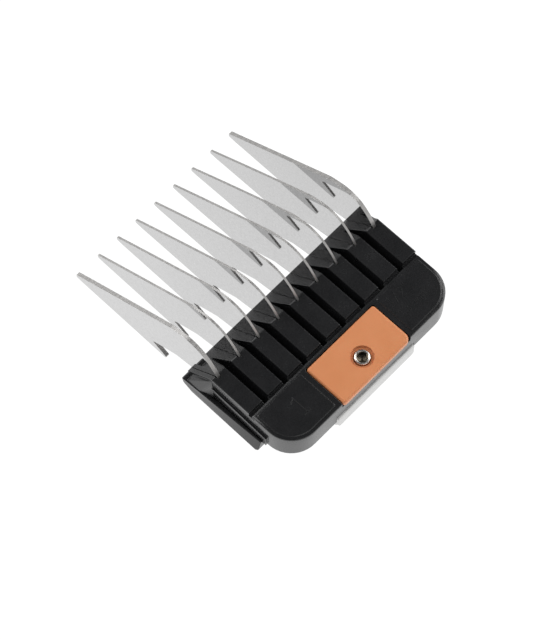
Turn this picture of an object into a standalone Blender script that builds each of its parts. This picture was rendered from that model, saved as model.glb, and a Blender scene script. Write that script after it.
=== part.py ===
"""Clipper guard comb: nine steel teeth in a moulded housing, with a sprung latch behind.

Lengths are in millimetres, measured from the middle of the housing's front edge:
+X along the comb, +Y the way the teeth point, +Z away from the blade bed.
ORIGIN moves that point so that the whole comb stands on z = 0, centred on x = y = 0.
"""

import math

import bmesh
import bpy
from mathutils import Matrix, Vector

MM = 0.001
ORIGIN = Vector((0.0, -1.95, 7.6))

# Teeth
TOOTH_COUNT = 9
PITCH = 5.2
FIRST_TOOTH_SHIFT = -0.33
INNER_TOOTH = 0.45
OUTER_TOOTH = 0.8
TOOTH_TIP_Y = 31.1
TANG_BOTTOM_Z = -0.1
TANG_TOP_Z = 5.2
TANG_REAR_Y = -12.0
TANG_FRONT_Y = -1.6
BLADE_REAR_Y = -7.0
SLOT_GAP = 0.06

# Rods through the tangs
ROD_RADIUS = 0.6
ROD_Z = 0.95
ROD_FRONT_Y = -3.6
ROD_REAR_Y = -9.6
ROD_HALF = 21.7

# Housing
BLOCK_HALF = 22.49
BED_Z = -0.8
BED_HALF = 22.4
PAD_TOP_Z = 6.5
PAD_FRONT_Y = -6.3
PAD_REAR_Y = -15.8
GROOVE_Z = 2.1
GROOVE_TOP = 1.8
GROOVE_BOTTOM = 0.35
EDGE = 0.15
DECK_HALF = 22.45
DECK_TOP_Z = 6.0
DECK_FRONT_Y = -16.35
DECK_REAR_Y = -26.8
DECK_CORNER = 6.0
PANEL_RISE = 0.2
PANEL_INSET = 0.75
RAIL_OUTER = 24.3
RAIL_REAR_Y = -19.7
RAIL_TOP_Z = 0.2
RAIL_BOTTOM_Z = -3.0
RAIL_FRONT_STEP_Y = -1.6
RAIL_TAPER = 0.9
LEDGE_HALF = 22.9
LEDGE_REAR_Y = -20.5

# Cap and its screw
CAP_HALF = 9.0
CAP_FRONT_Y = -17.4
CAP_REAR_Y = -27.1
CAP_TOP_Z = 6.35
CAP_BOTTOM_Z = 4.6
CAP_GAP = 0.2
SCREW_Y = -23.1
DISH_RADIUS = 2.25
DISH_DEPTH = 0.5
RECESS_RADIUS = 1.7
RECESS_DEPTH = 1.5
BOSS_RADIUS = 2.9
BOSS_BOTTOM_Z = 3.0
HEAD_RADIUS = 1.55
HEAD_HEIGHT = 1.35
HEX_RADIUS = 1.0
SHANK_RADIUS = 0.9

# Latch
LATCH_TRAVEL = 2.5
LATCH_HALF = 10.2
LATCH_TOP_Z = 1.0
LATCH_BOTTOM_Z = 0.1
LATCH_FRONT_Y = -14.6
LATCH_REAR_Y = -27.2
LATCH_SHEET = 0.8
HOOK_FACE_Z = -3.2
HOOK_TIP_Y = -24.9
HOOK_TIP_Z = -5.9
HOOK_CHAMFER = 0.6
SLOT_HALF = 1.85

# Threaded bushing that the latch slides on
BUSHING_RADIUS = 1.7
BUSHING_TOP_Z = 2.9

# Springs
SPRING_X = 5.9
SPRING_Z = 1.15
SPRING_RADIUS = 1.0
SPRING_WIRE = 0.19
SPRING_TURNS = 8
SPRING_FRONT_Y = -16.1
SPRING_REAR_Y = -22.9

# Cover plate under the latch
COVER_HALF = 11.6
COVER_FRONT_Y = -13.8
COVER_REAR_Y = -26.0
COVER_TOP_Z = 0.0
COVER_BOTTOM_Z = -0.75
FLANGE_RADIUS = 2.4
FLANGE_TOP_Z = -0.3

MATERIALS = {
    "housing_plastic": ((0.012, 0.012, 0.013), 0.38, 0.0),
    "tooth_steel": ((0.72, 0.71, 0.69), 0.18, 1.0),
    "rod_steel": ((0.62, 0.61, 0.6), 0.3, 1.0),
    "cap_plastic": ((0.62, 0.25, 0.11), 0.42, 0.0),
    "screw_steel": ((0.68, 0.66, 0.62), 0.2, 1.0),
    "latch_steel": ((0.7, 0.7, 0.69), 0.25, 1.0),
    "spring_steel": ((0.55, 0.55, 0.54), 0.28, 1.0),
    "bushing_brass": ((0.6, 0.44, 0.18), 0.3, 1.0),
}


def clear_scene():
    for obj in list(bpy.data.objects):
        bpy.data.objects.remove(obj, do_unlink=True)


def make_collection(name):
    collection = bpy.data.collections.new(name)
    bpy.context.scene.collection.children.link(collection)
    return collection


def make_materials():
    made = {}
    for name, (color, roughness, metallic) in MATERIALS.items():
        material = bpy.data.materials.new(name)
        material.use_nodes = True
        shader = material.node_tree.nodes["Principled BSDF"]
        shader.inputs["Base Color"].default_value = (*color, 1.0)
        shader.inputs["Roughness"].default_value = roughness
        shader.inputs["Metallic"].default_value = metallic
        material.diffuse_color = (*color, 1.0)
        made[name] = material
    return made


def add_object(name, mesh, collection, at=(0.0, 0.0, 0.0)):
    """Puts a mesh given in millimetres into the scene, its own zero standing at the point `at`."""
    mesh.transform(Matrix.Scale(MM, 4))
    obj = bpy.data.objects.new(name, mesh)
    obj.location = (ORIGIN + Vector(at)) * MM
    collection.objects.link(obj)
    return obj


def mesh_from(bm, name):
    bmesh.ops.recalc_face_normals(bm, faces=bm.faces)
    mesh = bpy.data.meshes.new(name)
    bm.to_mesh(mesh)
    bm.free()
    return mesh


def prism(name, outline, low, high, axis):
    """An outline swept from low to high: (y, z) points along x, (x, z) along y, (x, y) along z."""
    order = {"x": (2, 0, 1), "y": (0, 2, 1), "z": (0, 1, 2)}[axis]
    bm = bmesh.new()
    verts = []
    for first, second in outline:
        values = (first, second, low)
        verts.append(bm.verts.new([values[k] for k in order]))
    face = bm.faces.new(verts)
    made = bmesh.ops.extrude_face_region(bm, geom=[face], use_keep_orig=True)
    moved = [item for item in made["geom"] if isinstance(item, bmesh.types.BMVert)]
    sweep = (0.0, 0.0, high - low)
    bmesh.ops.translate(bm, verts=moved, vec=[sweep[k] for k in order])
    return mesh_from(bm, name)


def block(name, low, high):
    """A box between two opposite corners."""
    bm = bmesh.new()
    bmesh.ops.create_cube(bm, size=1.0)
    size = Vector(high) - Vector(low)
    bmesh.ops.scale(bm, verts=bm.verts, vec=size)
    bmesh.ops.translate(bm, verts=bm.verts, vec=Vector(low) + size / 2)
    return mesh_from(bm, name)


def cylinder(name, centre, radius, length, axis, sides=24):
    """A cylinder about its centre, with its length along x, y or z."""
    turn = {"x": Matrix.Rotation(math.pi / 2, 3, "Y"), "y": Matrix.Rotation(math.pi / 2, 3, "X")}
    bm = bmesh.new()
    bmesh.ops.create_cone(bm, cap_ends=True, segments=sides, radius1=radius, radius2=radius, depth=length)
    if axis in turn:
        bmesh.ops.rotate(bm, verts=bm.verts, cent=(0, 0, 0), matrix=turn[axis])
    bmesh.ops.translate(bm, verts=bm.verts, vec=centre)
    return mesh_from(bm, name)


def upright(name, y, radius, low, high, sides=24):
    """A cylinder standing on z, on the middle line of the comb."""
    return cylinder(name, (0, y, (low + high) / 2), radius, high - low, "z", sides)


def profile_mesh(name, profile):
    """The open edge chain of (r, z) points that a Screw modifier turns into a round piece."""
    bm = bmesh.new()
    verts = [bm.verts.new((radius, 0, z)) for radius, z in profile]
    for first, second in zip(verts, verts[1:]):
        bm.edges.new((first, second))
    mesh = bpy.data.meshes.new(name)
    bm.to_mesh(mesh)
    bm.free()
    return mesh


def rounded(corners, step=18.0):
    """The outline through (a, b, radius) corners, each corner with a radius turned into an arc."""
    outline = []
    count = len(corners)
    for k in range(count):
        a, b, radius = corners[k]
        corner = Vector((a, b))
        if radius == 0:
            outline.append((a, b))
            continue
        before = (Vector(corners[k - 1][:2]) - corner).normalized()
        after = (Vector(corners[(k + 1) % count][:2]) - corner).normalized()
        half = before.angle(after) / 2
        centre = corner + (before + after).normalized() * radius / math.sin(half)
        start = corner + before * radius / math.tan(half) - centre
        sweep = -start.angle_signed(corner + after * radius / math.tan(half) - centre)
        pieces = max(2, math.ceil(abs(math.degrees(sweep)) / step))
        for piece in range(pieces + 1):
            turn = sweep * piece / pieces
            x = centre.x + start.x * math.cos(turn) - start.y * math.sin(turn)
            y = centre.y + start.x * math.sin(turn) + start.y * math.cos(turn)
            outline.append((x, y))
    return outline


def boolean(target, other, operation):
    modifier = target.modifiers.new("shape", "BOOLEAN")
    modifier.solver = "EXACT"
    modifier.operation = operation
    modifier.object = other


def bevel(obj, width, segments, angle=30.0):
    modifier = obj.modifiers.new("edges", "BEVEL")
    modifier.width = width * MM
    modifier.segments = segments
    modifier.limit_method = "ANGLE"
    modifier.angle_limit = math.radians(angle)


def turned(obj, steps=32):
    """Turns an object's profile about its own z axis."""
    modifier = obj.modifiers.new("turned", "SCREW")
    modifier.axis = "Z"
    modifier.steps = steps
    modifier.render_steps = steps
    modifier.use_merge_vertices = True
    modifier.merge_threshold = 0.001 * MM
    modifier.use_smooth_shade = True


def smooth(mesh):
    mesh.shade_smooth()
    mesh.set_sharp_from_angle(angle=math.radians(35.0))


class Builder:
    def __init__(self):
        self.materials = make_materials()
        self.parts = make_collection("clipper_guard_comb")
        self.helpers = make_collection("cutters")
        self.helpers.hide_render = True

    def part(self, mesh, material, at=(0.0, 0.0, 0.0)):
        obj = add_object(mesh.name, mesh, self.parts, at)
        obj.data.materials.append(self.materials[material])
        return obj

    def helper(self, mesh):
        obj = add_object(mesh.name, mesh, self.helpers)
        obj.hide_render = True
        obj.display_type = "WIRE"
        return obj

    def cut(self, target, mesh):
        boolean(target, self.helper(mesh), "DIFFERENCE")

    def join(self, target, mesh):
        boolean(target, self.helper(mesh), "UNION")


def tooth_x(number):
    """Where the even pitch puts a tooth."""
    return (number - (TOOTH_COUNT + 1) / 2) * PITCH


def tooth_middle(number):
    """Where a tooth stands: the first one is set a little outside the even pitch."""
    return tooth_x(number) + (FIRST_TOOTH_SHIFT if number == 1 else 0.0)


def tooth_thickness(number):
    return OUTER_TOOTH if number in (1, TOOTH_COUNT) else INNER_TOOTH


def tooth_outline():
    """Side view of a tooth as (y, z): tip, straight back, crest, root, tang, lower edge, notch, foot."""
    return rounded(
        [
            (TOOTH_TIP_Y, -7.0, 0.25),
            (TOOTH_TIP_Y, -6.0, 0.3),
            (4.7, 11.0, 7.5),
            (-0.9, 12.75, 6.0),
            (-4.8, 9.9, 12.0),
            (BLADE_REAR_Y, PAD_TOP_Z - 0.15, 0.0),
            (BLADE_REAR_Y, TANG_TOP_Z, 0.0),
            (TANG_REAR_Y, TANG_TOP_Z, 0.8),
            (TANG_REAR_Y, TANG_BOTTOM_Z, 0.8),
            (TANG_FRONT_Y, TANG_BOTTOM_Z, 0.0),
            (TANG_FRONT_Y + 0.6, 0.55, 0.0),
            (4.0, -0.7, 2.0),
            (7.4, -2.7, 0.35),
            (10.5, -4.7, 0.3),
            (6.9, -6.9, 0.25),
            (7.2, -7.6, 0.2),
            (29.5, -7.2, 1.0),
        ]
    )


def tang_slot_outline():
    """Side view of the slot that a tooth is set in, open above its root and closed below it."""
    gap = SLOT_GAP
    return [
        (1.0, 0.0),
        (1.0, 9.0),
        (BLADE_REAR_Y - gap, 9.0),
        (BLADE_REAR_Y - gap, TANG_TOP_Z + gap),
        (TANG_REAR_Y - gap, TANG_TOP_Z + gap),
        (TANG_REAR_Y - gap, TANG_BOTTOM_Z - gap),
        (TANG_FRONT_Y + gap, TANG_BOTTOM_Z - gap),
        (TANG_FRONT_Y + 0.6, 0.55 - gap),
    ]


def build_teeth(builder):
    bores = []
    for name, y in (("bore_front", ROD_FRONT_Y), ("bore_rear", ROD_REAR_Y)):
        length = 2 * ROD_HALF + 0.2
        bores.append(builder.helper(cylinder(name, (0, y, ROD_Z), ROD_RADIUS + 0.05, length, "x", 20)))
    outline = tooth_outline()
    for number in range(1, TOOTH_COUNT + 1):
        half = tooth_thickness(number) / 2
        tooth = builder.part(
            prism(f"tooth_{number}", outline, -half, half, "x"), "tooth_steel", (tooth_middle(number), 0, 0)
        )
        bevel(tooth, 0.07, 1, 40.0)
        for bore in bores:
            boolean(tooth, bore, "DIFFERENCE")
    return bores


def build_rods(builder):
    for name, y in (("tooth_rod_front", ROD_FRONT_Y), ("tooth_rod_rear", ROD_REAR_Y)):
        mesh = cylinder(name, (0, 0, 0), ROD_RADIUS, 2 * ROD_HALF, "x", 20)
        smooth(mesh)
        rod = builder.part(mesh, "rod_steel", (0, y, ROD_Z))
        bevel(rod, 0.15, 1)


def front_block(builder):
    """The part of the housing that the teeth stand in: nose, sloped front, pads with grooves between."""
    outline = rounded(
        [
            (-0.6, BED_Z - 0.6, 0),
            (0.0, -0.45, 0),
            (0.0, 0.0, 0.1),
            (PAD_FRONT_Y, PAD_TOP_Z, 0.45),
            (PAD_REAR_Y, PAD_TOP_Z, EDGE),
            (PAD_REAR_Y, 5.3, 0),
            (PAD_REAR_Y - 1.4, 5.3, 0),
            (PAD_REAR_Y - 1.4, BED_Z - 0.6, 0),
        ]
    )
    housing = builder.part(prism("housing", outline, -BLOCK_HALF, BLOCK_HALF, "x"), "housing_plastic")
    low = GROOVE_BOTTOM / 2
    high = GROOVE_TOP / 2
    edge_z = PAD_TOP_Z - EDGE
    for number in range(1, TOOTH_COUNT):
        middle = tooth_x(number) + PITCH / 2
        groove = [
            (middle - low, GROOVE_Z),
            (middle + low, GROOVE_Z),
            (middle + high - EDGE, edge_z),
            (middle + high + 1.0, edge_z + 1.0 + EDGE),
            (middle - high - 1.0, edge_z + 1.0 + EDGE),
            (middle - high + EDGE, edge_z),
        ]
        builder.cut(housing, prism(f"groove_{number}", groove, -17.0, 1.0, "y"))
    for name, side in (("left", -1), ("right", 1)):
        edge = [
            (side * (BLOCK_HALF + 0.01), edge_z - 0.01),
            (side * (BLOCK_HALF + 1.0), edge_z + 1.0),
            (side * (BLOCK_HALF - 1.0), edge_z + 1.0),
        ]
        builder.cut(housing, prism(f"pad_edge_{name}", edge, -17.0, 1.0, "y"))
    return housing


def add_deck(builder, housing):
    """The flat rear half of the housing, with two raised panels beside the cap."""
    half = DECK_HALF
    corners = [
        (-half, DECK_FRONT_Y, 0),
        (-half, DECK_REAR_Y, DECK_CORNER),
        (half, DECK_REAR_Y, DECK_CORNER),
        (half, DECK_FRONT_Y, 0),
    ]
    deck = builder.helper(prism("deck", rounded(corners, 9.0), BED_Z - 1, DECK_TOP_Z, "z"))
    bevel(deck, 0.35, 2, 40.0)
    boolean(housing, deck, "UNION")
    builder.cut(housing, block("bed", (-30, -30, BED_Z - 4), (30, 5, BED_Z)))
    half = DECK_HALF - PANEL_INSET
    front = DECK_FRONT_Y - PANEL_INSET
    rear = DECK_REAR_Y + PANEL_INSET
    radius = DECK_CORNER - PANEL_INSET
    for name, side in (("panel_left", -1), ("panel_right", 1)):
        inner = side * (CAP_HALF + 1.25)
        outer = side * half
        corners = [(outer, front, 0.4), (outer, rear, radius), (inner, rear, 0.4), (inner, front, 0.4)]
        outline = rounded(corners, 9.0)
        panel = builder.helper(prism(name, outline, DECK_TOP_Z - 1, DECK_TOP_Z + PANEL_RISE, "z"))
        bevel(panel, 0.12, 1, 40.0)
        boolean(housing, panel, "UNION")


def rail_outer(y, z):
    """Half width over the rails: the outer wall leans in towards the top, more and more towards the rear."""
    back = min(1.0, max(0.0, y / RAIL_REAR_Y))
    up = min(1.0, max(0.0, (z - RAIL_BOTTOM_Z) / (RAIL_TOP_Z - RAIL_BOTTOM_Z)))
    return RAIL_OUTER - RAIL_TAPER * back * up


def rail_mesh(name, side):
    outline = rounded(
        [
            (-0.1, RAIL_TOP_Z, 0.3),
            (-0.5, -1.6, 1.2),
            (-2.6, RAIL_BOTTOM_Z + 0.15, 1.6),
            (RAIL_REAR_Y + 0.5, RAIL_BOTTOM_Z, 0.2),
            (RAIL_REAR_Y, RAIL_BOTTOM_Z + 0.45, 0.2),
            (RAIL_REAR_Y, RAIL_TOP_Z, 0.3),
        ]
    )
    mesh = prism(name, outline, side * BED_HALF, side * RAIL_OUTER, "x")
    for vert in mesh.vertices:
        if abs(vert.co.x) > (BED_HALF + RAIL_OUTER) / 2:
            vert.co.x = side * rail_outer(vert.co.y, vert.co.z)
    return mesh


def rail_step(name, side, front_inset, rear_inset, drop):
    """A cutter that lowers a rail's top inside a line running a little in from its outer edge."""
    rear_edge = max(LEDGE_HALF, RAIL_OUTER - RAIL_TAPER - rear_inset)
    outline = [
        (side * (BED_HALF - 0.3), RAIL_FRONT_STEP_Y),
        (side * (RAIL_OUTER - front_inset), RAIL_FRONT_STEP_Y),
        (side * rear_edge, RAIL_REAR_Y - 0.5),
        (side * (BED_HALF - 0.3), RAIL_REAR_Y - 0.5),
    ]
    return prism(name, outline, RAIL_TOP_Z - drop, RAIL_TOP_Z + 3, "z")


def add_rails(builder, housing):
    for name, side in (("left", -1), ("right", 1)):
        rail = builder.helper(rail_mesh(f"rail_{name}", side))
        bevel(rail, 0.12, 1, 50.0)
        builder.cut(rail, rail_step(f"channel_{name}", side, 0.95, 0.45, 0.85))
        builder.cut(rail, rail_step(f"step_{name}", side, 0.5, 0.3, 0.25))
        boolean(housing, rail, "UNION")
        foot = BED_Z + 0.04
        ledge = [(-6.0, foot), (-6.0, 3.5), (LEDGE_REAR_Y, 2.4), (LEDGE_REAR_Y, foot)]
        builder.join(housing, prism(f"ledge_{name}", ledge, side * (BED_HALF - 1), side * LEDGE_HALF, "x"))
        builder.join(housing, corner_fillet(f"fillet_{name}", side))


def corner_fillet(name, side):
    """The sloping facet that runs from the end pad's front corner down to the rail."""
    foot = BED_Z + 0.08
    points = [
        (22.0, -6.6, 5.9),
        (22.55, -6.4, 5.9),
        (22.0, -1.3, 0.6),
        (24.0, -1.3, 0.15),
        (23.9, -4.4, 0.4),
        (23.1, -7.2, 1.0),
        (22.0, -7.2, 1.0),
        (22.0, -1.3, foot),
        (24.0, -1.3, foot),
        (23.9, -4.4, foot),
        (23.1, -7.2, foot),
        (22.0, -7.2, foot),
    ]
    bm = bmesh.new()
    verts = [bm.verts.new((side * x, y, z)) for x, y, z in points]
    made = bmesh.ops.convex_hull(bm, input=verts)
    inside = [item for item in made["geom_interior"] if isinstance(item, bmesh.types.BMVert)]
    bmesh.ops.delete(bm, geom=inside, context="VERTS")
    return mesh_from(bm, name)


def cut_housing(builder, housing, bores):
    """Everything that is set into the housing: cap, screw boss, bushing, latch, cover, springs and teeth."""
    side = CAP_HALF + CAP_GAP
    front = CAP_FRONT_Y + CAP_GAP
    behind = DECK_REAR_Y - 2
    pocket = rounded([(-side, front, 0.5), (-side, behind, 0), (side, behind, 0), (side, front, 0.5)])
    builder.cut(housing, prism("cap_pocket", pocket, CAP_BOTTOM_Z - 0.2, 9.0, "z"))
    builder.cut(housing, upright("boss_hole", SCREW_Y, BOSS_RADIUS + 0.15, BOSS_BOTTOM_Z - 0.2, 7.0, 32))
    builder.cut(housing, upright("bushing_hole", SCREW_Y, BUSHING_RADIUS + 0.1, -2.0, 6.0))
    side = LATCH_HALF + 0.3
    low = (-side, DECK_REAR_Y - 1, -2.0)
    builder.cut(housing, block("latch_space", low, (side, LATCH_FRONT_Y + 0.3, LATCH_TOP_Z + 0.1)))
    side = COVER_HALF + 0.1
    low = (-side, COVER_REAR_Y - 0.1, -2.0)
    builder.cut(housing, block("cover_space", low, (side, COVER_FRONT_Y + 0.1, COVER_TOP_Z + 0.05)))
    length = SPRING_FRONT_Y - SPRING_REAR_Y + 0.45
    middle_y = (SPRING_FRONT_Y + SPRING_REAR_Y + 0.15) / 2
    for name, side in (("left", -1), ("right", 1)):
        x = side * SPRING_X
        pocket = cylinder(
            f"spring_pocket_{name}", (x, middle_y, SPRING_Z), SPRING_RADIUS + 0.2, length, "y", 20
        )
        builder.cut(housing, pocket)
        low = (x - 1.15, SPRING_REAR_Y - 1.25, 0.15)
        high = (x + 1.15, SPRING_REAR_Y - 0.1, LATCH_TOP_Z + 0.6)
        builder.join(housing, block(f"spring_stop_{name}", low, high))
    for number in range(1, TOOTH_COUNT + 1):
        half = tooth_thickness(number) / 2 + SLOT_GAP
        middle = tooth_middle(number)
        builder.cut(housing, prism(f"slot_{number}", tang_slot_outline(), middle - half, middle + half, "x"))
    for bore in bores:
        boolean(housing, bore, "DIFFERENCE")


def build_housing(builder, bores):
    housing = front_block(builder)
    add_deck(builder, housing)
    add_rails(builder, housing)
    cut_housing(builder, housing, bores)


def build_cap(builder):
    outline = rounded(
        [
            (-CAP_HALF, CAP_FRONT_Y, 0.5),
            (-CAP_HALF, CAP_REAR_Y, 0.7),
            (CAP_HALF, CAP_REAR_Y, 1.3),
            (CAP_HALF, CAP_FRONT_Y, 0.6),
        ]
    )
    cap = builder.part(prism("colour_cap", outline, CAP_BOTTOM_Z, CAP_TOP_Z, "z"), "cap_plastic")
    bevel(cap, 0.4, 3, 40.0)
    builder.join(cap, upright("cap_boss", SCREW_Y, BOSS_RADIUS, BOSS_BOTTOM_Z, CAP_BOTTOM_Z + 0.5, 32))
    dish_floor = CAP_TOP_Z - DISH_DEPTH
    builder.cut(cap, upright("cap_dish", SCREW_Y, DISH_RADIUS, dish_floor, CAP_TOP_Z + 1, 40))
    floor = CAP_TOP_Z - RECESS_DEPTH
    builder.cut(cap, upright("cap_recess", SCREW_Y, RECESS_RADIUS, floor, CAP_TOP_Z + 1, 32))
    builder.cut(cap, upright("cap_hole", SCREW_Y, SHANK_RADIUS + 0.15, 0.0, CAP_TOP_Z + 1))


def build_screw(builder):
    seat = CAP_TOP_Z - RECESS_DEPTH + 0.05
    top = seat + HEAD_HEIGHT
    profile = [
        (0, top),
        (HEAD_RADIUS - 0.25, top),
        (HEAD_RADIUS, top - 0.25),
        (HEAD_RADIUS, seat),
        (SHANK_RADIUS, seat),
        (SHANK_RADIUS, 0.6),
        (SHANK_RADIUS - 0.2, 0.4),
        (0, 0.4),
    ]
    screw = builder.part(profile_mesh("cap_screw", profile), "screw_steel", (0, SCREW_Y, 0))
    turned(screw)
    builder.cut(screw, upright("hex_socket", SCREW_Y, HEX_RADIUS, top - 0.9, top + 1, 6))


def build_bushing(builder):
    """Flanged bushing, held under the cover plate and screwed to the cap from above."""
    bottom = COVER_BOTTOM_Z + 0.05
    profile = [
        (0, BUSHING_TOP_Z),
        (BUSHING_RADIUS - 0.2, BUSHING_TOP_Z),
        (BUSHING_RADIUS, BUSHING_TOP_Z - 0.2),
        (BUSHING_RADIUS, FLANGE_TOP_Z),
        (FLANGE_RADIUS, FLANGE_TOP_Z),
        (FLANGE_RADIUS, bottom),
        (0, bottom),
    ]
    bushing = builder.part(profile_mesh("latch_bushing", profile), "bushing_brass", (0, SCREW_Y, 0))
    turned(bushing)
    builder.cut(bushing, upright("bushing_bore", SCREW_Y, SHANK_RADIUS + 0.06, -3.0, 6.0))


def build_latch(builder):
    """Sheet-steel slider under the housing, turned down behind it into a hook."""
    rear = LATCH_REAR_Y
    inner = rear + LATCH_SHEET + 0.1
    side_view = rounded(
        [
            (LATCH_FRONT_Y, LATCH_BOTTOM_Z, 0),
            (LATCH_FRONT_Y, LATCH_TOP_Z, 0),
            (rear, LATCH_TOP_Z, 0.9),
            (rear, HOOK_FACE_Z, 0.9),
            (HOOK_TIP_Y - 0.9, HOOK_TIP_Z, 0.15),
            (HOOK_TIP_Y, HOOK_TIP_Z, 0.15),
            (inner, HOOK_FACE_Z + 0.15, 0.4),
            (inner, LATCH_BOTTOM_Z, 0.2),
        ]
    )
    latch = builder.part(prism("latch", side_view, -LATCH_HALF, LATCH_HALF, "x"), "latch_steel")
    low = SCREW_Y - BUSHING_RADIUS - 0.15
    high = SCREW_Y + BUSHING_RADIUS + LATCH_TRAVEL + 0.15
    half = SLOT_HALF
    slot = rounded([(-half, low, 1.2), (half, low, 1.2), (half, high, 1.2), (-half, high, 1.2)])
    builder.cut(latch, prism("latch_slot", slot, -1.0, 3.0, "z"))
    for name, side in (("left", -1), ("right", 1)):
        x = side * SPRING_X
        low = (x - 1.4, SPRING_REAR_Y - 2.0, -1.0)
        builder.cut(latch, block(f"window_{name}", low, (x + 1.4, SPRING_FRONT_Y + 0.05, 3.0)))
        edge = side * (LATCH_HALF + 0.01)
        start = HOOK_FACE_Z + HOOK_CHAMFER
        trim = [(edge, start), (edge, HOOK_FACE_Z - 4), (edge - side * HOOK_CHAMFER, HOOK_FACE_Z - 4)]
        trim.append((edge - side * HOOK_CHAMFER, HOOK_FACE_Z))
        builder.cut(latch, prism(f"hook_corner_{name}", trim, rear - 1, HOOK_TIP_Y + 1, "y"))


def build_cover(builder):
    """Thin plate, flush in the bed, that keeps the latch and its springs in the housing."""
    half = COVER_HALF
    front = COVER_FRONT_Y
    rear = COVER_REAR_Y
    outline = rounded([(-half, rear, 0.8), (half, rear, 0.8), (half, front, 0.8), (-half, front, 0.8)])
    cover = builder.part(prism("latch_cover", outline, COVER_BOTTOM_Z, COVER_TOP_Z, "z"), "latch_steel")
    builder.cut(cover, upright("cover_hole", SCREW_Y, BUSHING_RADIUS + 0.1, -3.0, 3.0))
    seat = FLANGE_TOP_Z + 0.05
    builder.cut(cover, upright("cover_counterbore", SCREW_Y, FLANGE_RADIUS + 0.1, -3.0, seat, 32))


def spring_mesh(name):
    """Coil spring along y from its rear end at zero."""
    length = SPRING_FRONT_Y - SPRING_REAR_Y
    steps = SPRING_TURNS * 12
    coil = SPRING_RADIUS - SPRING_WIRE
    curve = bpy.data.curves.new(f"{name}_line", "CURVE")
    curve.dimensions = "3D"
    curve.bevel_depth = SPRING_WIRE
    curve.bevel_resolution = 1
    curve.use_fill_caps = True
    spline = curve.splines.new("POLY")
    spline.points.add(steps)
    for k in range(steps + 1):
        angle = 2 * math.pi * SPRING_TURNS * k / steps
        along = SPRING_WIRE + (length - 2 * SPRING_WIRE) * k / steps
        spline.points[k].co = (coil * math.cos(angle), along, coil * math.sin(angle), 1.0)
    wire = bpy.data.objects.new(f"{name}_wire", curve)
    tube = bpy.data.meshes.new_from_object(wire)
    bpy.data.objects.remove(wire, do_unlink=True)
    bm = bmesh.new()
    bm.from_mesh(tube)
    bpy.data.meshes.remove(tube)
    bmesh.ops.remove_doubles(bm, verts=bm.verts, dist=0.005)
    mesh = mesh_from(bm, name)
    smooth(mesh)
    return mesh


def build_springs(builder):
    for name, side in (("latch_spring_left", -1), ("latch_spring_right", 1)):
        builder.part(spring_mesh(name), "spring_steel", (side * SPRING_X, SPRING_REAR_Y, SPRING_Z))


def main():
    clear_scene()
    builder = Builder()
    bores = build_teeth(builder)
    build_rods(builder)
    build_housing(builder, bores)
    build_cap(builder)
    build_screw(builder)
    build_bushing(builder)
    build_latch(builder)
    build_cover(builder)
    build_springs(builder)


main()
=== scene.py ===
"""Looks of a clipper guard comb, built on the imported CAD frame.

Lengths in the helpers are millimetres, measured from the middle of the housing's front edge:
+X along the comb, +Y the way the teeth point, +Z away from the blade bed.
"""

import math

import bmesh
import bpy
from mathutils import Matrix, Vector
from mathutils.geometry import tessellate_polygon


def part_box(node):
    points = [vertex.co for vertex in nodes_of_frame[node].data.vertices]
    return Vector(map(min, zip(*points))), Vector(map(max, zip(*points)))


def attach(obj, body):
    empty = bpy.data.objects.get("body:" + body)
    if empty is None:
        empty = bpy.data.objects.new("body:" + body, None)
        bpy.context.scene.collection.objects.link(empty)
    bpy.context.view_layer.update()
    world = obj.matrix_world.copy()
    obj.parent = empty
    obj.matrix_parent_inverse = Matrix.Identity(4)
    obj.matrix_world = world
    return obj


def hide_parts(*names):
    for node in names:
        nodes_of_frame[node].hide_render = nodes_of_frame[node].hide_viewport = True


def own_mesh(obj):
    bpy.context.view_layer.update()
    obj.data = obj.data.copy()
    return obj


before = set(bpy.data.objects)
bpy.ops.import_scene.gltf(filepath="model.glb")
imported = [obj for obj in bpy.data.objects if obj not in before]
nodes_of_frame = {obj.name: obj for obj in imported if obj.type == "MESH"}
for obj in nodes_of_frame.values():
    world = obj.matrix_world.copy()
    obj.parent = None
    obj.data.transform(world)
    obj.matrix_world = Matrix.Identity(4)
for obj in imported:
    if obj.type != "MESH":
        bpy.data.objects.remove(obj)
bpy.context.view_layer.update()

MM = 0.001
BEVEL_SAMPLES = 12

# The middle of the housing's front edge in the shared frame, from the middle tooth's box.
TOOTH_COUNT = 9
TOOTH_TIP_Y = 31.1
TOOTH_FOOT_Z = -7.6
tooth_low, tooth_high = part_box("tooth_5")
ORIGIN = Vector((0.0, tooth_high.y - TOOTH_TIP_Y * MM, tooth_low.z - TOOTH_FOOT_Z * MM))


def at(x, y, z):
    """A point given in local millimetres, in the shared frame."""
    return ORIGIN + Vector((x, y, z)) * MM


# ---------------------------------------------------------------- materials


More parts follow.
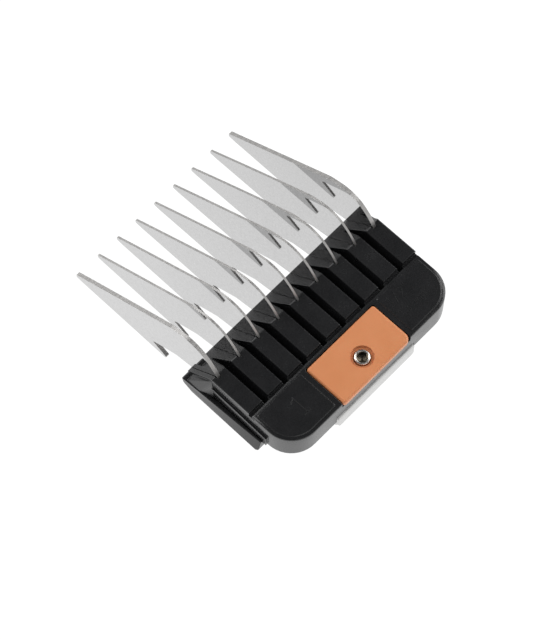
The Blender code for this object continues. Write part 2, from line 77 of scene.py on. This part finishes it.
class Shader:
    """One procedural material on a Principled shader, in the object's own coordinates."""

    def __init__(self, name):
        self.material = bpy.data.materials.new(name)
        self.material.use_nodes = True
        self.tree = self.material.node_tree
        self.principled = self.tree.nodes["Principled BSDF"]
        self.coordinates = self.add("ShaderNodeTexCoord").outputs["Object"]

    def add(self, kind, inputs=None, **settings):
        node = self.tree.nodes.new(kind)
        for key, value in settings.items():
            setattr(node, key, value)
        for key, value in (inputs or {}).items():
            if isinstance(value, bpy.types.NodeSocket):
                self.tree.links.new(value, node.inputs[key])
            else:
                node.inputs[key].default_value = value
        return node

    def set(self, **values):
        for key, value in values.items():
            socket = self.principled.inputs[key.replace("_", " ")]
            if isinstance(value, bpy.types.NodeSocket):
                self.tree.links.new(value, socket)
            else:
                socket.default_value = value

    def stretched(self, x, y, z):
        """The object's coordinates, each axis scaled."""
        inputs = {"Vector": self.coordinates, "Scale": (x, y, z)}
        return self.add("ShaderNodeMapping", inputs).outputs[0]

    def from_screw_axis(self):
        """The distance to the screw's upright axis."""
        shifted = self.add(
            "ShaderNodeVectorMath", {0: self.coordinates, 1: SCREW_AXIS}, operation="SUBTRACT"
        ).outputs[0]
        flat = self.add(
            "ShaderNodeVectorMath", {0: shifted, 1: (1.0, 1.0, 0.0)}, operation="MULTIPLY"
        ).outputs[0]
        return self.add("ShaderNodeVectorMath", {0: flat}, operation="LENGTH").outputs["Value"]

    def noise(self, scale, detail=2.0, roughness=0.5, vector=None):
        inputs = {"Vector": vector or self.coordinates, "Scale": scale, "Detail": detail}
        inputs["Roughness"] = roughness
        return self.add("ShaderNodeTexNoise", inputs).outputs["Fac"]

    def remap(self, value, from_low, from_high, to_low, to_high):
        inputs = {0: value, 1: from_low, 2: from_high, 3: to_low, 4: to_high}
        return self.add("ShaderNodeMapRange", inputs, clamp=True).outputs[0]

    def math(self, operation, first, second):
        return self.add("ShaderNodeMath", {0: first, 1: second}, operation=operation).outputs[0]

    def mix(self, factor, first, second):
        """Between two colours, each an (r, g, b) or a socket."""
        node = self.add("ShaderNodeMix", data_type="RGBA")
        sockets = (node.inputs[0], node.inputs[6], node.inputs[7])
        for socket, value in zip(sockets, (factor, first, second)):
            if isinstance(value, bpy.types.NodeSocket):
                self.tree.links.new(value, socket)
            elif isinstance(value, tuple):
                socket.default_value = (*value, 1.0)
            else:
                socket.default_value = value
        return node.outputs[2]

    def worn_and_highlit_edges(self, radius, low, high):
        """The normal of slightly rounded edges, and a mask of where it turns away from the face. The
        materials lighten their colour by this mask, partly as edge wear and partly as painted
        highlight.
        """
        inputs = {"Radius": radius * MM}
        rounded = self.add("ShaderNodeBevel", inputs, samples=BEVEL_SAMPLES).outputs[0]
        face = self.add("ShaderNodeNewGeometry").outputs["Normal"]
        dot = self.add("ShaderNodeVectorMath", {0: rounded, 1: face}, operation="DOT_PRODUCT")
        return rounded, self.remap(dot.outputs["Value"], 1.0 - low, 1.0 - high, 0.0, 1.0)

    def bump(self, height, depth, strength=1.0, normal=None):
        inputs = {"Height": height, "Distance": depth * MM, "Strength": strength}
        if normal is not None:
            inputs["Normal"] = normal
        return self.add("ShaderNodeBump", inputs).outputs[0]


def housing_plastic():
    """Black glass-filled nylon: satin, finely grained, a little greyer along its edges, partly as wear
    and partly as painted highlight.
    """
    s = Shader("moulded_black_nylon")
    cloud = s.noise(220.0, 4.0, 0.6)
    grain = s.noise(3000.0, 3.0, 0.65)
    dust = s.remap(s.noise(1900.0, 2.0, 0.5), 0.62, 0.74, 0.0, 1.0)
    rounded, wear_and_highlight = s.worn_and_highlit_edges(0.16, 0.02, 0.3)
    base = s.mix(cloud, (0.0112, 0.0114, 0.0122), (0.0152, 0.0155, 0.0165))
    grey_grain = s.math("MULTIPLY", s.remap(grain, 0.35, 0.7, 0.0, 1.0), 0.3)
    base = s.mix(grey_grain, base, (0.024, 0.0243, 0.0258))
    base = s.mix(s.math("MULTIPLY", dust, 0.3), base, (0.03, 0.03, 0.031))
    # Lighter grey along the edges: partly wear, partly painted highlight.
    base = s.mix(s.math("MULTIPLY", wear_and_highlight, 0.85), base, (0.075, 0.075, 0.077))
    rough = s.remap(s.math("ADD", cloud, s.math("MULTIPLY", grain, 0.5)), 0.35, 1.15, 0.16, 0.32)
    s.set(Base_Color=base, Roughness=rough, Normal=s.bump(grain, 0.002, 0.4, rounded))
    s.set(IOR=1.5)
    return s.material


def mark_plastic():
    """The same nylon, polished smoother where the size marks stand up."""
    s = Shader("polished_black_nylon")
    grain = s.noise(7000.0, 2.0)
    base = s.mix(grain, (0.011, 0.011, 0.0115), (0.019, 0.019, 0.02))
    s.set(Base_Color=base, Roughness=s.remap(grain, 0.3, 0.7, 0.22, 0.36))
    s.set(Normal=s.bump(grain, 0.002))
    return s.material


def tooth_face_steel():
    """Tumble-polished stainless sheet: nearly a mirror, with a fine speckle and shallow pits."""
    s = Shader("polished_tooth_steel")
    speckle = s.noise(2300.0, 5.0, 0.75)
    cloud = s.noise(260.0, 3.0)
    cells = s.add("ShaderNodeTexVoronoi", {"Vector": s.coordinates, "Scale": 650.0}).outputs["Distance"]
    pits = s.remap(cells, 0.05, 0.12, 1.0, 0.0)
    base = s.mix(s.remap(speckle, 0.3, 0.7, 0.0, 1.0), (0.43, 0.429, 0.43), (0.6, 0.599, 0.6))
    base = s.mix(s.math("MULTIPLY", cloud, 0.35), base, (0.51, 0.508, 0.506))
    base = s.mix(s.math("MULTIPLY", pits, 0.3), base, (0.3, 0.295, 0.29))
    s.set(Base_Color=base, Metallic=1.0, Roughness=s.remap(speckle, 0.3, 0.75, 0.02, 0.05))
    s.set(Normal=s.bump(cloud, 0.002, 0.15))
    return s.material


def tooth_edge_steel(name, rough_low, rough_high):
    """The sheared rim of a tooth or its tumbled corners, with marks across the sheet."""
    s = Shader(name)
    shear = s.noise(1500.0, 3.0, 0.6, s.stretched(0.15, 1.0, 1.0))
    speckle = s.noise(4200.0, 2.0)
    base = s.mix(shear, (0.47, 0.462, 0.454), (0.6, 0.59, 0.578))
    base = s.mix(s.math("MULTIPLY", speckle, 0.25), base, (0.46, 0.44, 0.425))
    s.set(Base_Color=base, Metallic=1.0, Roughness=s.remap(shear, 0.3, 0.7, rough_low, rough_high))
    s.set(Normal=s.bump(shear, 0.0008, 0.2))
    return s.material


# Radii of the ring round the screw where the cap's colour is darkened as painted shade.
DISH_SHADE_OUTER = 2.28
DISH_SHADE_INNER = 1.9


def cap_plastic():
    """Orange ABS: satin and grained, paler along its edges partly as wear and partly as painted
    highlight, with painted shade in the dish round the screw.
    """
    s = Shader("orange_abs")
    cloud = s.noise(300.0, 4.0, 0.6)
    grain = s.noise(6500.0, 2.0, 0.6)
    rounded, wear_and_highlight = s.worn_and_highlit_edges(0.08, 0.02, 0.4)
    base = s.mix(cloud, (0.7, 0.259, 0.101), (0.77, 0.296, 0.123))
    # Paler along the edges: partly wear, partly painted highlight.
    base = s.mix(s.math("MULTIPLY", wear_and_highlight, 0.3), base, (0.78, 0.4, 0.24))
    # Painted shade: the cap's colour darkened in the dish round the screw.
    dish_shade = s.remap(s.from_screw_axis(), DISH_SHADE_OUTER * MM, DISH_SHADE_INNER * MM, 0.0, 1.0)
    base = s.mix(s.math("MULTIPLY", dish_shade, 0.45), base, (0.44, 0.145, 0.052))
    rough = s.remap(s.math("ADD", cloud, grain), 0.6, 1.4, 0.36, 0.52)
    s.set(Base_Color=base, Roughness=rough, Normal=s.bump(grain, 0.004, 0.6, rounded))
    s.set(Subsurface_Weight=0.06, Subsurface_Scale=0.0006)
    return s.material


def turned_metal(name, dark, light, rough_low, rough_high, ring_scale, edge_wear_highlight=None):
    """Metal turned on a lathe: rings about the screw's axis, with a rim lightened partly as wear and
    partly as painted highlight.
    """
    s = Shader(name)
    inputs = {"W": s.from_screw_axis(), "Scale": ring_scale, "Detail": 3.0}
    rings = s.add("ShaderNodeTexNoise", inputs, noise_dimensions="1D").outputs["Fac"]
    cloud = s.noise(1500.0, 3.0)
    rounded, wear_and_highlight = s.worn_and_highlit_edges(0.05, 0.02, 0.4)
    base = s.mix(s.math("MULTIPLY", s.math("ADD", rings, cloud), 0.5), dark, light)
    # The rim lightened towards the edge colour: partly wear, partly painted highlight.
    base = s.mix(s.math("MULTIPLY", wear_and_highlight, 0.4), base, edge_wear_highlight or light)
    s.set(Base_Color=base, Metallic=1.0, Roughness=s.remap(cloud, 0.3, 0.7, rough_low, rough_high))
    s.set(Normal=s.bump(rings, 0.001, 0.4, rounded))
    return s.material


def drawn_metal(name, dark, light, rough_low, rough_high, stretch, depth=0.003):
    """Rolled or drawn steel: fine lines along one axis, patchy roughness, and edges lightened partly as
    wear and partly as painted highlight.
    """
    s = Shader(name)
    lines = s.noise(5200.0, 3.0, 0.6, s.stretched(*stretch))
    cloud = s.noise(420.0, 4.0, 0.6)
    rounded, wear_and_highlight = s.worn_and_highlit_edges(0.06, 0.02, 0.4)
    base = s.mix(s.math("MULTIPLY", s.math("ADD", lines, cloud), 0.5), dark, light)
    # Edges lightened towards a pale grey: partly wear, partly painted highlight.
    base = s.mix(s.math("MULTIPLY", wear_and_highlight, 0.35), base, (0.8, 0.795, 0.785))
    s.set(Base_Color=base, Metallic=1.0, Roughness=s.remap(cloud, 0.3, 0.7, rough_low, rough_high))
    s.set(Normal=s.bump(lines, depth, 0.6, rounded))
    return s.material


def painted_socket_shade():
    """The inside of the screw's socket, painted dark as shade in the recess, with a mottle in its
    colour.
    """
    s = Shader("painted_shade_socket")
    shade_mottle = s.noise(2400.0, 3.0, 0.6)
    base = s.mix(shade_mottle, (0.035, 0.028, 0.02), (0.16, 0.135, 0.1))
    s.set(Base_Color=base, Metallic=1.0, Roughness=s.remap(shade_mottle, 0.3, 0.7, 0.25, 0.45))
    s.set(Normal=s.bump(shade_mottle, 0.01, 0.6))
    return s.material


screw_low, screw_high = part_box("cap_screw")
SCREW_AXIS = tuple((screw_low + screw_high) / 2)

NYLON = housing_plastic()
MARK_NYLON = mark_plastic()
# Dark material for the inside of the screw's socket: painted shade.
SOCKET_SHADE = painted_socket_shade()
TOOTH_FACE = tooth_face_steel()
TOOTH_EDGE = tooth_edge_steel("sheared_tooth_steel", 0.38, 0.5)
TOOTH_CORNER = tooth_edge_steel("tumbled_tooth_steel", 0.17, 0.24)
ORANGE = cap_plastic()
NICKEL = turned_metal(
    "nickel_plated_screw", (0.7, 0.665, 0.62), (0.88, 0.85, 0.8), 0.22, 0.32, 9000.0
)
BRASS = turned_metal(
    "turned_brass", (0.5, 0.33, 0.12), (0.68, 0.49, 0.21), 0.16, 0.32, 7000.0, (0.8, 0.64, 0.34)
)
ALONG_X = (0.06, 1.0, 1.0)
ALONG_Y = (1.0, 0.06, 1.0)
LATCH_STEEL = drawn_metal(
    "brushed_latch_steel", (0.49, 0.488, 0.482), (0.62, 0.617, 0.61), 0.2, 0.34, ALONG_X, 0.001
)
COVER_STEEL = drawn_metal(
    "rolled_cover_steel", (0.52, 0.518, 0.51), (0.68, 0.677, 0.67), 0.22, 0.4, ALONG_Y
)
ROD_STEEL = drawn_metal(
    "drawn_rod_steel", (0.5, 0.497, 0.49), (0.66, 0.657, 0.65), 0.2, 0.36, (0.05, 1.0, 1.0)
)
SPRING_STEEL = drawn_metal(
    "spring_wire_steel", (0.34, 0.33, 0.32), (0.56, 0.55, 0.53), 0.2, 0.36, (1.0, 0.3, 1.0), 0.002
)


# ---------------------------------------------------------------- CAD nodes that keep their shape


SMOOTH_ANGLE = 32.0
WELD_DISTANCE = 0.0005


def refinish(node, material):
    """Gives a CAD node its material, and shades its curved runs smooth without moving a vertex."""
    obj = nodes_of_frame[node]
    mesh = obj.data
    if "custom_normal" in mesh.attributes:
        mesh.attributes.remove(mesh.attributes["custom_normal"])
    mesh.shade_smooth()
    mesh.materials.clear()
    mesh.materials.append(material)
    weld = obj.modifiers.new("join_faces", "WELD")
    weld.merge_threshold = WELD_DISTANCE * MM
    edges = obj.modifiers.new("hard_edges", "EDGE_SPLIT")
    edges.use_edge_sharp = False
    edges.split_angle = math.radians(SMOOTH_ANGLE)
    normals = obj.modifiers.new("flat_faces", "WEIGHTED_NORMAL")
    normals.mode = "FACE_AREA_WITH_ANGLE"
    normals.weight = 80


refinish("housing", NYLON)
refinish("colour_cap", ORANGE)
refinish("latch_bushing", BRASS)
refinish("latch", LATCH_STEEL)
refinish("latch_cover", COVER_STEEL)
for rod in ("tooth_rod_front", "tooth_rod_rear"):
    refinish(rod, ROD_STEEL)


# ---------------------------------------------------------------- finer pieces


def link(mesh, name, body, slot, *replaced):
    obj = bpy.data.objects.new(name, mesh)
    bpy.context.scene.collection.objects.link(obj)
    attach(obj, body)
    if replaced:
        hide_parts(*replaced)
    return obj


def finished(bm, name):
    bmesh.ops.recalc_face_normals(bm, faces=bm.faces)
    mesh = bpy.data.meshes.new(name)
    bm.to_mesh(mesh)
    bm.free()
    return mesh


ARC_STEP = 6.0


def rounded_outline(corners):
    """The outline through (a, b, radius) corners, each corner with a radius turned into an arc."""
    outline = []
    count = len(corners)
    for k in range(count):
        a, b, radius = corners[k]
        corner = Vector((a, b))
        if radius == 0:
            outline.append((a, b))
            continue
        before = (Vector(corners[k - 1][:2]) - corner).normalized()
        after = (Vector(corners[(k + 1) % count][:2]) - corner).normalized()
        half = before.angle(after) / 2
        centre = corner + (before + after).normalized() * radius / math.sin(half)
        start = corner + before * radius / math.tan(half) - centre
        sweep = -start.angle_signed(corner + after * radius / math.tan(half) - centre)
        pieces = max(2, math.ceil(abs(math.degrees(sweep)) / ARC_STEP))
        for piece in range(pieces + 1):
            turn = sweep * piece / pieces
            x = centre.x + start.x * math.cos(turn) - start.y * math.sin(turn)
            y = centre.y + start.x * math.sin(turn) + start.y * math.cos(turn)
            outline.append((x, y))
    return outline


TOOTH_CORNERS = [
    (31.1, -7.0, 0.25),
    (31.1, -6.0, 0.3),
    (4.7, 11.0, 7.5),
    (-0.9, 12.75, 6.0),
    (-4.8, 9.9, 12.0),
    (-7.0, 6.35, 0.0),
    (-7.0, 5.2, 0.0),
    (-12.0, 5.2, 0.8),
    (-12.0, -0.1, 0.8),
    (-1.6, -0.1, 0.0),
    (-1.0, 0.55, 0.0),
    (4.0, -0.7, 2.0),
    (7.4, -2.7, 0.35),
    (10.5, -4.7, 0.3),
    (6.9, -6.9, 0.25),
    (7.2, -7.6, 0.2),
    (29.5, -7.2, 1.0),
]
ROD_BORES = ((-3.6, 0.95), (-9.6, 0.95))
ROD_BORE_RADIUS = 0.65
SPLAY_START_Y = 2.0
SPLAY_CUTS = 10
FLAT_SIDE = 0.7
TUMBLE_WIDTH = 0.085
TUMBLE_ANGLE = 50.0
TIP_SPLAY = (-0.1, -0.06, -0.08, -0.2, -0.25, -0.25, -0.35, -0.25, -0.05)


def circle(y, z, radius, sides=32):
    turns = [2 * math.pi * k / sides for k in range(sides)]
    return [(y + radius * math.cos(turn), z + radius * math.sin(turn)) for turn in turns]


def plate(outlines, half):
    """A flat plate from x = -half to half: the first outline is its rim, the others are holes."""
    bm = bmesh.new()
    sides = []
    for x in (-half, half):
        sides.append([[bm.verts.new((x, y, z)) for y, z in outline] for outline in outlines])
    flat = [[Vector((y, z, 0.0)) for y, z in outline] for outline in outlines]
    for loops in sides:
        verts = [vert for loop in loops for vert in loop]
        for triangle in tessellate_polygon(flat):
            bm.faces.new([verts[k] for k in triangle])
    for left, right in zip(*sides):
        for k in range(len(left)):
            after = (k + 1) % len(left)
            bm.faces.new((left[k], left[after], right[after], right[k]))
    bmesh.ops.recalc_face_normals(bm, faces=bm.faces)
    return bm


def build_tooth(number):
    """A stamped steel tooth with tumbled edges, its tip sprung slightly off the straight."""
    low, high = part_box(f"tooth_{number}")
    middle = (low.x + high.x) / 2 / MM
    half = (high.x - low.x) / 2 / MM
    bores = [circle(y, z, ROD_BORE_RADIUS) for y, z in ROD_BORES]
    bm = plate([rounded_outline(TOOTH_CORNERS), *bores], half)
    for cut in range(SPLAY_CUTS):
        y = SPLAY_START_Y + (TOOTH_TIP_Y - SPLAY_START_Y) * cut / SPLAY_CUTS
        geom = list(bm.verts) + list(bm.edges) + list(bm.faces)
        bmesh.ops.bisect_plane(bm, geom=geom, plane_co=(0, y, 0), plane_no=(0, 1, 0))
    for face in bm.faces:
        face.normal_update()
        face.material_index = 0 if abs(face.normal.x) > FLAT_SIDE else 1
        face.smooth = True
    for vert in bm.verts:
        along = max(0.0, (vert.co.y - SPLAY_START_Y) / (TOOTH_TIP_Y - SPLAY_START_Y))
        vert.co.x += TIP_SPLAY[number - 1] * along ** 2
        vert.co = at(middle + vert.co.x, vert.co.y, vert.co.z)
    mesh = bpy.data.meshes.new(f"steel_tooth_{number}")
    bm.to_mesh(mesh)
    bm.free()
    mesh.materials.append(TOOTH_FACE)
    mesh.materials.append(TOOTH_EDGE)
    mesh.materials.append(TOOTH_CORNER)
    tooth = link(mesh, f"steel_tooth_{number}", "comb", "tooth_steel", f"tooth_{number}")
    edges = tooth.modifiers.new("tumbled_edges", "BEVEL")
    edges.width = TUMBLE_WIDTH * MM
    edges.segments = 3
    edges.limit_method = "ANGLE"
    edges.angle_limit = math.radians(TUMBLE_ANGLE)
    edges.material = 2
    edges.harden_normals = True


for tooth_number in range(1, TOOTH_COUNT + 1):
    build_tooth(tooth_number)


SPRING_COILS = 8
SPRING_STEPS = 28
WIRE_RADIUS = 0.19
WIRE_SIDES = 12
CLOSED_TURNS = 0.9
CLOSED_PITCH = 2.1


def build_spring(side):
    """A coil spring of round wire with closed ends."""
    low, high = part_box(f"latch_spring_{side}")
    middle = (low + high) / 2
    coil = (high.x - low.x) / 2 - WIRE_RADIUS * MM
    wire = WIRE_RADIUS * MM
    start, end = low.y + wire, high.y - wire
    steps = SPRING_COILS * SPRING_STEPS
    open_turns = SPRING_COILS - 2 * CLOSED_TURNS
    path = []
    for k in range(steps + 1):
        turns = SPRING_COILS * k / steps
        opened = min(max(turns - CLOSED_TURNS, 0.0), open_turns) / open_turns
        ends = (turns - opened * open_turns) * CLOSED_PITCH * wire
        along = start + ends + opened * (end - start - 2 * CLOSED_TURNS * CLOSED_PITCH * wire)
        angle = 2 * math.pi * turns
        x, z = middle.x + coil * math.cos(angle), middle.z + coil * math.sin(angle)
        path.append(Vector((x, along, z)))
    bm = bmesh.new()
    rings = []
    for k, point in enumerate(path):
        ahead = (path[min(k + 1, steps)] - path[max(k - 1, 0)]).normalized()
        outward = Vector((point.x - middle.x, 0, point.z - middle.z)).normalized()
        across = ahead.cross(outward).normalized()
        outward = across.cross(ahead)
        ring = []
        for j in range(WIRE_SIDES):
            turn = 2 * math.pi * j / WIRE_SIDES
            spot = point + outward * wire * math.cos(turn) + across * wire * math.sin(turn)
            ring.append(bm.verts.new(spot))
        rings.append(ring)
    for first, second in zip(rings, rings[1:]):
        for j in range(WIRE_SIDES):
            after = (j + 1) % WIRE_SIDES
            bm.faces.new((first[j], first[after], second[after], second[j])).smooth = True
    bm.faces.new(rings[0])
    bm.faces.new(rings[-1])
    mesh = finished(bm, f"coil_spring_{side}")
    mesh.materials.append(SPRING_STEEL)
    spring = link(mesh, f"coil_spring_{side}", "comb", "spring_steel", f"latch_spring_{side}")
    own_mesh(spring)


for spring_side in ("left", "right"):
    build_spring(spring_side)


HEAD_RADIUS = 1.55
HEAD_HEIGHT = 1.3
SOCKET_RADIUS = 1.02
SOCKET_MOUTH = 1.14
SHANK_RADIUS = 0.9
THREAD_DEPTH = 0.12
THREAD_PITCH = 0.4
THREAD_START = 0.5
THREAD_END = 0.5
SHANK_TIP = 0.3
SCREW_SIDES = 48
SOCKET_RINGS = 4
POINT_RADIUS = 0.03
SHARP_ANGLE = 40.0


def build_screw():
    """A nickel-plated socket screw: rounded head, hexagon socket with a drilled floor, ridged shank."""
    low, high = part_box("cap_screw")
    centre = (low + high) / 2
    length = (high.z - low.z) / MM
    profile = [
        (POINT_RADIUS, -1.12, False),
        (0.5, -0.98, False),
        (SOCKET_RADIUS, -0.9, True),
        (SOCKET_RADIUS, -0.22, True),
        (SOCKET_MOUTH - 0.02, -0.13, False),
        (SOCKET_MOUTH, -0.06, False),
        (SOCKET_MOUTH + 0.05, -0.015, False),
        (SOCKET_MOUTH + 0.12, 0.0, False),
        (HEAD_RADIUS - 0.2, 0.0, False),
        (HEAD_RADIUS - 0.1, -0.03, False),
        (HEAD_RADIUS - 0.03, -0.1, False),
        (HEAD_RADIUS, -0.2, False),
        (HEAD_RADIUS, 0.06 - HEAD_HEIGHT, False),
        (HEAD_RADIUS - 0.06, -HEAD_HEIGHT, False),
        (SHANK_RADIUS - THREAD_DEPTH, -HEAD_HEIGHT, False),
    ]
    depth = HEAD_HEIGHT + THREAD_START
    while depth < length - THREAD_END:
        profile.append((SHANK_RADIUS - THREAD_DEPTH, -depth, False))
        profile.append((SHANK_RADIUS, -depth - THREAD_PITCH / 2, False))
        depth += THREAD_PITCH
    profile.append((SHANK_RADIUS - THREAD_DEPTH, -depth, False))
    profile.append((SHANK_RADIUS - SHANK_TIP, -length, False))
    profile.append((POINT_RADIUS, -length, False))
    bm = bmesh.new()
    rings = []
    for radius, drop, hexagonal in profile:
        ring = []
        for k in range(SCREW_SIDES):
            turn = 2 * math.pi * k / SCREW_SIDES
            out = radius
            if hexagonal:
                out *= math.cos(math.pi / 6) / math.cos(turn % (math.pi / 3) - math.pi / 6)
            spot = Vector((out * math.cos(turn), out * math.sin(turn), drop)) * MM
            ring.append(bm.verts.new(Vector((centre.x, centre.y, high.z)) + spot))
        rings.append(ring)
    # The socket's faces, its floor included, take the dark socket material as painted shade.
    for index, (first, second) in enumerate(zip(rings, rings[1:])):
        for k in range(SCREW_SIDES):
            after = (k + 1) % SCREW_SIDES
            face = bm.faces.new((first[k], first[after], second[after], second[k]))
            face.smooth = True
            face.material_index = 1 if index < SOCKET_RINGS else 0
    bm.faces.new(rings[0]).material_index = 1
    bm.faces.new(rings[-1])
    mesh = finished(bm, "socket_screw")
    mesh.set_sharp_from_angle(angle=math.radians(SHARP_ANGLE))
    mesh.materials.append(NICKEL)
    mesh.materials.append(SOCKET_SHADE)
    link(mesh, "socket_screw", "comb", "screw_steel", "cap_screw")


build_screw()


# ---------------------------------------------------------------- moulded size marks

PANEL_TOP_Z = 6.2
MARK_HEIGHT = 0.04
MARK_SUNK = 0.02
SPACE_WIDTH = 0.6
# Each figure as strokes of (across, up) points, in shares of its height.
GLYPHS = {
    "1": [[(0.14, 0.84), (0.42, 1.0), (0.42, 0.0)], [(0.22, 0.0), (0.62, 0.0)]],
    "2": [
        [(0.0, 0.74), (0.06, 0.9), (0.2, 0.99), (0.38, 0.99), (0.53, 0.9), (0.58, 0.74)]
        + [(0.52, 0.58), (0.0, 0.0), (0.62, 0.0)]
    ],
    "3": [
        [(0.0, 0.84), (0.12, 0.97), (0.34, 1.0), (0.52, 0.9), (0.56, 0.73), (0.46, 0.58), (0.24, 0.53)]
        + [(0.48, 0.46), (0.6, 0.29), (0.54, 0.1), (0.34, 0.0), (0.12, 0.02), (0.0, 0.14)]
    ],
    "/": [[(0.0, -0.04), (0.42, 1.04)]],
    '"': [[(0.0, 1.0), (0.0, 0.76)], [(0.2, 1.0), (0.2, 0.76)]],
    "m": [
        [(0.0, 0.6), (0.0, 0.0)],
        [(0.0, 0.46), (0.1, 0.57), (0.26, 0.6), (0.38, 0.5), (0.4, 0.36), (0.4, 0.0)],
        [(0.4, 0.46), (0.5, 0.57), (0.66, 0.6), (0.78, 0.5), (0.8, 0.36), (0.8, 0.0)],
    ],
}


def stroke(bm, points, half):
    """A low ridge with sloping sides along a line of (x, y) points on the panel."""
    crest = half * 0.45
    profile = ((-half, -MARK_SUNK), (-crest, MARK_HEIGHT), (crest, MARK_HEIGHT), (half, -MARK_SUNK))
    rings = []
    count = len(points)
    for k, (x, y) in enumerate(points):
        here = Vector((x, y))
        before = Vector(points[max(k - 1, 0)])
        after = Vector(points[min(k + 1, count - 1)])
        into = (here - before).normalized() if k else (after - here).normalized()
        out = (after - here).normalized() if k < count - 1 else into
        along = (into + out).normalized()
        widen = 1.0 / max(0.5, along.dot(into))
        reach = half * 0.6 * ((k == count - 1) - (k == 0))
        across = Vector((-along.y, along.x)) * widen
        ring = []
        for offset, height in profile:
            spot = here + along * reach + across * offset
            ring.append(bm.verts.new(at(spot.x, spot.y, PANEL_TOP_Z + height)))
        rings.append(ring)
    for first, second in zip(rings, rings[1:]):
        for j in range(3):
            bm.faces.new((first[j], first[j + 1], second[j + 1], second[j]))
    bm.faces.new(rings[0])
    bm.faces.new(rings[-1])


def build_mark(name, text, corner, height, half, spacing):
    """A line of generic size figures, its lower left corner at `corner`."""
    bm = bmesh.new()
    x, y = corner
    for letter in text:
        if letter == " ":
            x += SPACE_WIDTH * height
            continue
        widest = 0.0
        for line in GLYPHS[letter]:
            stroke(bm, [(x + a * height, y + b * height) for a, b in line], half)
            widest = max(widest, max(a for a, b in line))
        x += (widest + spacing) * height
    mesh = finished(bm, name)
    mesh.materials.append(MARK_NYLON)
    link(mesh, name, "comb", "housing_plastic")


RIGHT_MARK_X = 10.9
build_mark("size_mark_one", "1", (-16.35, -23.25), 3.8, 0.15, 0.3)
build_mark("size_mark_inch", '1/2"', (RIGHT_MARK_X, -20.4), 2.1, 0.075, 0.2)
build_mark("size_mark_length", "13 mm", (RIGHT_MARK_X, -23.3), 1.75, 0.065, 0.24)


# ---------------------------------------------------------------- floor, light and camera

FLOOR_HALF = 3.0
LIGHT_TARGET_Z = 0.01
HORIZON_LIGHT = 0.6
OVERHEAD_LIGHT = 0.06
OVERHEAD_HEIGHT = 0.75
SHADE_START = -0.1
SHADE_END = 0.8
FRONT_SHADE = 0.55
CAMERA_PLACE = (-0.13266854, -0.12794293, 0.42985438)
CAMERA_TILT = 22.736
CAMERA_TURN = -46.188
CAMERA_LENS = 137.2048


def build_floor():
    bm = bmesh.new()
    bmesh.ops.create_grid(bm, x_segments=8, y_segments=8, size=FLOOR_HALF)
    mesh = finished(bm, "studio_floor")
    s = Shader("white_sweep")
    mottle = s.mix(s.noise(6.0), (0.06, 0.06, 0.06), (0.07, 0.07, 0.07))
    s.set(Base_Color=mottle, Roughness=0.9)
    s.set(Emission_Color=(1.0, 1.0, 1.0, 1.0), Emission_Strength=1.0)
    mesh.materials.append(s.material)
    floor = bpy.data.objects.new("studio_floor", mesh)
    bpy.context.scene.collection.objects.link(floor)


def build_softbox(name, azimuth, elevation, distance, size, power):
    """A square soft light aimed at the comb."""
    light = bpy.data.lights.new(name, "AREA")
    light.shape = "SQUARE"
    light.size = size
    light.energy = power
    obj = bpy.data.objects.new(name, light)
    a, e = math.radians(azimuth), math.radians(elevation)
    away = Vector((math.cos(e) * math.cos(a), math.cos(e) * math.sin(a), math.sin(e)))
    obj.location = away * distance + Vector((0, 0, LIGHT_TARGET_Z))
    obj.rotation_euler = away.to_track_quat("Z", "Y").to_euler()
    obj.visible_camera = False
    bpy.context.scene.collection.objects.link(obj)


def build_world():
    """A white tent that darkens overhead and to the front; the camera itself sees plain white."""
    world = bpy.data.worlds.new("studio")
    bpy.context.scene.world = world
    world.use_nodes = True
    tree = world.node_tree
    background = tree.nodes["Background"]
    coordinates = tree.nodes.new("ShaderNodeTexCoord")
    split = tree.nodes.new("ShaderNodeSeparateXYZ")
    ramp = tree.nodes.new("ShaderNodeValToRGB")
    horizon, overhead = ramp.color_ramp.elements
    horizon.position = 0.0
    horizon.color = (HORIZON_LIGHT, HORIZON_LIGHT, HORIZON_LIGHT, 1.0)
    overhead.position = OVERHEAD_HEIGHT
    overhead.color = (OVERHEAD_LIGHT, OVERHEAD_LIGHT, OVERHEAD_LIGHT, 1.0)
    front = tree.nodes.new("ShaderNodeMapRange")
    for index, value in enumerate((SHADE_START, SHADE_END, 1.0, FRONT_SHADE), 1):
        front.inputs[index].default_value = value
    shade = tree.nodes.new("ShaderNodeVectorMath")
    shade.operation = "SCALE"
    path = tree.nodes.new("ShaderNodeLightPath")
    mix = tree.nodes.new("ShaderNodeMix")
    mix.data_type = "RGBA"
    mix.inputs[7].default_value = (1.0, 1.0, 1.0, 1.0)
    tree.links.new(coordinates.outputs["Generated"], split.inputs[0])
    tree.links.new(split.outputs["Z"], ramp.inputs[0])
    tree.links.new(path.outputs["Is Camera Ray"], mix.inputs[0])
    tree.links.new(split.outputs["Y"], front.inputs[0])
    tree.links.new(ramp.outputs[0], shade.inputs[0])
    tree.links.new(front.outputs[0], shade.inputs["Scale"])
    tree.links.new(shade.outputs[0], mix.inputs[6])
    tree.links.new(mix.outputs[2], background.inputs[0])


def build_camera():
    data = bpy.data.cameras.new("camera")
    data.sensor_fit = "VERTICAL"
    data.sensor_height = 36.0
    data.lens = CAMERA_LENS
    data.clip_start = 0.01
    data.clip_end = 20.0
    camera = bpy.data.objects.new("camera", data)
    camera.location = CAMERA_PLACE
    camera.rotation_euler = (math.radians(CAMERA_TILT), 0.0, math.radians(CAMERA_TURN))
    bpy.context.scene.collection.objects.link(camera)
    bpy.context.scene.camera = camera


build_floor()
build_softbox("softbox_rear", -100.0, 32.0, 0.7, 0.5, 0.7)
build_softbox("softbox_front", 105.0, 42.0, 0.6, 0.42, 2.2)
build_softbox("softbox_right", -15.0, 38.0, 0.6, 0.42, 2.2)
build_world()
build_camera()
bpy.context.scene.view_settings.view_transform = "Standard"
